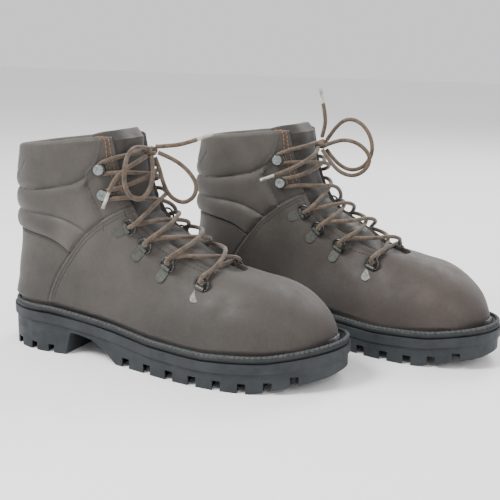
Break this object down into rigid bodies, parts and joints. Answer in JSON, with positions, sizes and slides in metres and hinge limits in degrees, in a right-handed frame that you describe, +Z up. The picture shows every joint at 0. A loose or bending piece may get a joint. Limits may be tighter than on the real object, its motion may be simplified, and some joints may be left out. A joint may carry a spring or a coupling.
{
  "type": "mountaineering boots",
  "caption": "Pair of leather mountaineering boots with padded collars, lugged soles, hinged lace rings, ankle hooks and tied laces.",
  "frame": {"origin": "on the floor, in the middle of the box around both boots, leaving the free laces out", "axes": "+X towards the toes, +Y towards the left boot, +Z up"},
  "size_m": [0.4142, 0.2394, 0.2279],
  "materials": {
    "sole_rubber": "matte",
    "welt_rubber": "matte",
    "board": "matte",
    "footbed": "matte",
    "lining": "matte",
    "upper_leather": "satin",
    "collar_leather": "satin",
    "tongue_leather": "satin",
    "hook_metal": "satin",
    "clip_metal": "satin",
    "ring_metal": "satin",
    "lace": "matte",
    "lace_tip": "matte"
  },
  "bodies": {
    "right_boot": {"right_bow_loop_inner": "lace", "right_bow_loop_outer": "lace", "right_collar": "collar_leather", "right_footbed": "footbed", "right_heel_block": "sole_rubber", "right_hook_facings": "upper_leather", "right_hooks": "hook_metal", "right_insole_board": "board", "right_knot": "lace", "right_lace_end_inner": "lace", "right_lace_end_outer": "lace", "right_lace_tips": "lace_tip", "right_lacing": "lace", "right_lining": "lining", "right_midsole": "sole_rubber", "right_outsole": "sole_rubber", "right_quarter": "upper_leather", "right_ring_clips": "clip_metal", "right_stiffeners": "board", "right_tongue": "tongue_leather", "right_vamp": "upper_leather", "right_welt": "welt_rubber"},
    "right_ring_1_inner": {"right_ring_1_inner": "ring_metal"},
    "right_ring_1_outer": {"right_ring_1_outer": "ring_metal"},
    "right_ring_2_inner": {"right_ring_2_inner": "ring_metal"},
    "right_ring_2_outer": {"right_ring_2_outer": "ring_metal"},
    "right_ring_3_inner": {"right_ring_3_inner": "ring_metal"},
    "right_ring_3_outer": {"right_ring_3_outer": "ring_metal"},
    "right_ring_4_inner": {"right_ring_4_inner": "ring_metal"},
    "right_ring_4_outer": {"right_ring_4_outer": "ring_metal"},
    "left_boot": {"left_bow_loop_inner": "lace", "left_bow_loop_outer": "lace", "left_collar": "collar_leather", "left_footbed": "footbed", "left_heel_block": "sole_rubber", "left_hook_facings": "upper_leather", "left_hooks": "hook_metal", "left_insole_board": "board", "left_knot": "lace", "left_lace_end_inner": "lace", "left_lace_end_outer": "lace", "left_lace_tips": "lace_tip", "left_lacing": "lace", "left_lining": "lining", "left_midsole": "sole_rubber", "left_outsole": "sole_rubber", "left_quarter": "upper_leather", "left_ring_clips": "clip_metal", "left_stiffeners": "board", "left_tongue": "tongue_leather", "left_vamp": "upper_leather", "left_welt": "welt_rubber"},
    "left_ring_1_inner": {"left_ring_1_inner": "ring_metal"},
    "left_ring_1_outer": {"left_ring_1_outer": "ring_metal"},
    "left_ring_2_inner": {"left_ring_2_inner": "ring_metal"},
    "left_ring_2_outer": {"left_ring_2_outer": "ring_metal"},
    "left_ring_3_inner": {"left_ring_3_inner": "ring_metal"},
    "left_ring_3_outer": {"left_ring_3_outer": "ring_metal"},
    "left_ring_4_inner": {"left_ring_4_inner": "ring_metal"},
    "left_ring_4_outer": {"left_ring_4_outer": "ring_metal"}
  },
  "joints": [
    {"name": "left_boot_lift", "type": "slide", "parent": "right_boot", "child": "left_boot", "axis": [0, 0, 1], "range_m": [0, 0.25]},
    {"name": "right_ring_1_inner_swing", "type": "hinge", "parent": "right_boot", "child": "right_ring_1_inner", "pos_m": [-0.00629, -0.03146, 0.07564], "axis": [0.9591, 0.1172, -0.2578], "range_deg": [-3, 3]},
    {"name": "right_ring_1_outer_swing", "type": "hinge", "parent": "right_boot", "child": "right_ring_1_outer", "pos_m": [-0.00631, -0.09899, 0.07578], "axis": [0.9548, -0.1502, -0.2566], "range_deg": [-3, 3]},
    {"name": "right_ring_2_inner_swing", "type": "hinge", "parent": "right_boot", "child": "right_ring_2_inner", "pos_m": [-0.03909, -0.03369, 0.08757], "axis": [0.8922, 0.0173, -0.4513], "range_deg": [-3, 3]},
    {"name": "right_ring_2_outer_swing", "type": "hinge", "parent": "right_boot", "child": "right_ring_2_outer", "pos_m": [-0.03909, -0.09579, 0.08769], "axis": [0.8916, -0.0404, -0.451], "range_deg": [-3, 3]},
    {"name": "right_ring_3_inner_swing", "type": "hinge", "parent": "right_boot", "child": "right_ring_3_inner", "pos_m": [-0.06086, -0.03362, 0.10117], "axis": [0.765, -0.0278, -0.6434], "range_deg": [-3, 3]},
    {"name": "right_ring_3_outer_swing", "type": "hinge", "parent": "right_boot", "child": "right_ring_3_outer", "pos_m": [-0.06086, -0.09523, 0.10128], "axis": [0.7653, 0, -0.6437], "range_deg": [-3, 3]},
    {"name": "right_ring_4_inner_swing", "type": "hinge", "parent": "right_boot", "child": "right_ring_4_inner", "pos_m": [-0.07626, -0.033, 0.11631], "axis": [0.4265, -0.0367, -0.9037], "range_deg": [-3, 3]},
    {"name": "right_ring_4_outer_swing", "type": "hinge", "parent": "right_boot", "child": "right_ring_4_outer", "pos_m": [-0.07626, -0.09519, 0.11641], "axis": [0.4268, 0, -0.9044], "range_deg": [-3, 3]},
    {"name": "left_ring_1_inner_swing", "type": "hinge", "parent": "left_boot", "child": "left_ring_1_inner", "pos_m": [0.09416, 0.0323, 0.07564], "axis": [0.9452, -0.2003, -0.2578], "range_deg": [-3, 3]},
    {"name": "left_ring_1_outer_swing", "type": "hinge", "parent": "left_boot", "child": "left_ring_1_outer", "pos_m": [0.10003, 0.09958, 0.07578], "axis": [0.9642, 0.0664, -0.2566], "range_deg": [-3, 3]},
    {"name": "left_ring_2_inner_swing", "type": "hinge", "parent": "left_boot", "child": "left_ring_2_inner", "pos_m": [0.06168, 0.03738, 0.08757], "axis": [0.8873, -0.095, -0.4513], "range_deg": [-3, 3]},
    {"name": "left_ring_2_outer_swing", "type": "hinge", "parent": "left_boot", "child": "left_ring_2_outer", "pos_m": [0.06709, 0.09925, 0.08769], "axis": [0.8917, -0.0375, -0.451], "range_deg": [-3, 3]},
    {"name": "left_ring_3_inner_swing", "type": "hinge", "parent": "left_boot", "child": "left_ring_3_inner", "pos_m": [0.03998, 0.0392, 0.10117], "axis": [0.7645, -0.039, -0.6434], "range_deg": [-3, 3]},
    {"name": "left_ring_3_outer_swing", "type": "hinge", "parent": "left_boot", "child": "left_ring_3_outer", "pos_m": [0.04535, 0.10058, 0.10128], "axis": [0.7624, -0.0667, -0.6437], "range_deg": [-3, 3]},
    {"name": "left_ring_4_inner_swing", "type": "hinge", "parent": "left_boot", "child": "left_ring_4_inner", "pos_m": [0.02459, 0.03993, 0.11631], "axis": [0.4281, -0.0006, -0.9037], "range_deg": [-3, 3]},
    {"name": "left_ring_4_outer_swing", "type": "hinge", "parent": "left_boot", "child": "left_ring_4_outer", "pos_m": [0.03001, 0.10189, 0.11641], "axis": [0.4252, -0.0372, -0.9044], "range_deg": [-3, 3]}
  ]
}
